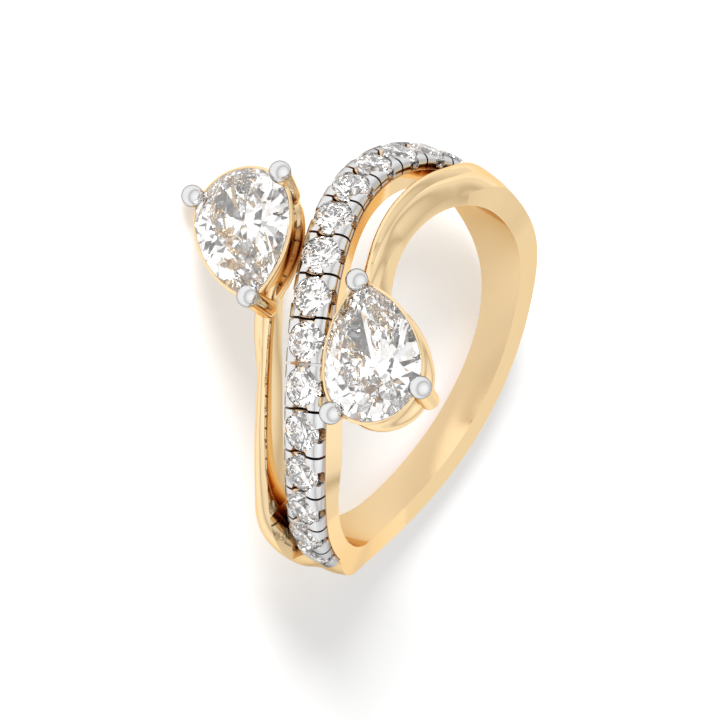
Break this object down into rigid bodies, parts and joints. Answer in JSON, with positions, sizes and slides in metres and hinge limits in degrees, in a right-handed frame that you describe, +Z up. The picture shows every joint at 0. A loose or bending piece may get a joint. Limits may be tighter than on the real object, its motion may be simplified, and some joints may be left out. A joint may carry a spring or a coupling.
{
  "type": "wrap ring",
  "caption": "Bypass ring whose flat-sided band splits into arms that end in pear-cut stones in prong baskets, on either side of a curved row of small round stones.",
  "frame": {"origin": "middle of the ring's box, on the surface that it lies on", "axes": "+Z up from that surface; the head with the stones faces -Y; the finger axis leans about 20 degrees from +Z towards +Y"},
  "size_m": [0.0202, 0.0222, 0.015],
  "materials": {
    "gold": "polished pale yellow gold, with white prongs and cups",
    "stone": "cut and polished colourless stone"
  },
  "bodies": {
    "root": {"ring_metal": "gold", "pave_stone_01": "stone", "pave_stone_02": "stone", "pave_stone_03": "stone", "pave_stone_04": "stone", "pave_stone_05": "stone", "pave_stone_06": "stone", "pave_stone_07": "stone", "pave_stone_08": "stone", "pave_stone_09": "stone", "pave_stone_10": "stone", "pave_stone_11": "stone", "pave_stone_12": "stone", "pave_stone_13": "stone", "pave_stone_14": "stone", "pave_stone_15": "stone", "pear_stone_low": "stone", "pear_stone_high": "stone"}
  },
  "joints": []
}
